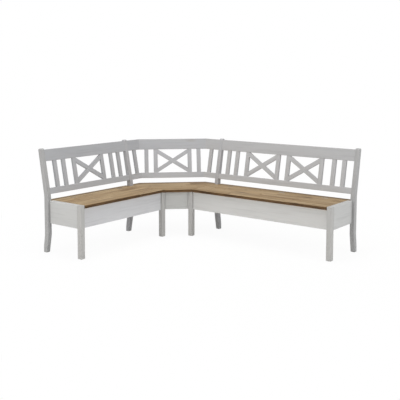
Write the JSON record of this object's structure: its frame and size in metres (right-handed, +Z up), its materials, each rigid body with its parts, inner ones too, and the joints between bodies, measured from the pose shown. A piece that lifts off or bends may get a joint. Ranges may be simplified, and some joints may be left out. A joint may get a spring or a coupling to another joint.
{
  "type": "corner storage bench",
  "caption": "Corner bench of two box seats with hinged lids and a fixed corner seat, under one leaning backrest of rails, slats and crossed braces.",
  "frame": {"origin": "on the floor, at the middle of the overall box that holds the bench", "axes": "+Z up; +X along the long bench, away from the corner of the room; the long bench's seat faces -Y and the short bench's seat faces +X"},
  "size_m": [2.193, 1.781, 0.912],
  "materials": {
    "white_wood": "white stained solid softwood, satin, the grain showing faintly through",
    "seat_wood": "brown stained and waxed solid wood, grain along the seat",
    "raw_wood": "planed softwood, unfinished",
    "hinge_steel": "zinc plated, dull",
    "glide": "matt"
  },
  "bodies": {
    "frame": {"corner_front_panel": "white_wood", "corner_seat": "seat_wood", "corner_seat_battens": "raw_wood", "diagonal_bottom_rail": "white_wood", "diagonal_brace_falling": "white_wood", "diagonal_brace_rising": "white_wood", "diagonal_slats": "white_wood", "diagonal_stiles": "white_wood", "diagonal_top_rail": "white_wood", "end_battens": "white_wood", "foot_glides": "glide", "hinge_fixed_leaves": "hinge_steel", "hinge_pins": "hinge_steel", "long_bottom_rail": "white_wood", "long_brace_1_falling": "white_wood", "long_brace_1_rising": "white_wood", "long_brace_2_falling": "white_wood", "long_brace_2_rising": "white_wood", "long_corner_bottom_rail": "white_wood", "long_corner_slat": "white_wood", "long_corner_top_rail": "white_wood", "long_end_leg": "white_wood", "long_end_panel": "white_wood", "long_end_post": "white_wood", "long_floor_panel": "white_wood", "long_front_panel": "white_wood", "long_inner_leg": "white_wood", "long_inner_post": "white_wood", "long_partition": "white_wood", "long_rear_panel": "white_wood", "long_rear_strip": "seat_wood", "long_slats": "white_wood", "long_stiles": "white_wood", "long_top_rail": "white_wood", "short_bottom_rail": "white_wood", "short_brace_falling": "white_wood", "short_brace_rising": "white_wood", "short_corner_bottom_rail": "white_wood", "short_corner_slat": "white_wood", "short_corner_top_rail": "white_wood", "short_end_leg": "white_wood", "short_end_panel": "white_wood", "short_end_post": "white_wood", "short_floor_panel": "white_wood", "short_front_panel": "white_wood", "short_inner_leg": "white_wood", "short_inner_post": "white_wood", "short_partition": "white_wood", "short_rear_panel": "white_wood", "short_rear_strip": "seat_wood", "short_slats": "white_wood", "short_stiles": "white_wood", "short_top_rail": "white_wood"},
    "long_lid": {"long_lid": "seat_wood", "long_lid_battens": "raw_wood", "long_lid_hinge_leaves": "hinge_steel"},
    "short_lid": {"short_lid": "seat_wood", "short_lid_battens": "raw_wood", "short_lid_hinge_leaves": "hinge_steel"}
  },
  "joints": [
    {"name": "long_lid_hinge", "type": "hinge", "parent": "frame", "child": "long_lid", "pos_m": [0.31847, 0.74553, 0.461], "axis": [-1, 0, 0], "range_deg": [0, 103]},
    {"name": "short_lid_hinge", "type": "hinge", "parent": "frame", "child": "short_lid", "pos_m": [-0.95153, -0.31847, 0.461], "axis": [0, -1, 0], "range_deg": [0, 103]}
  ]
}
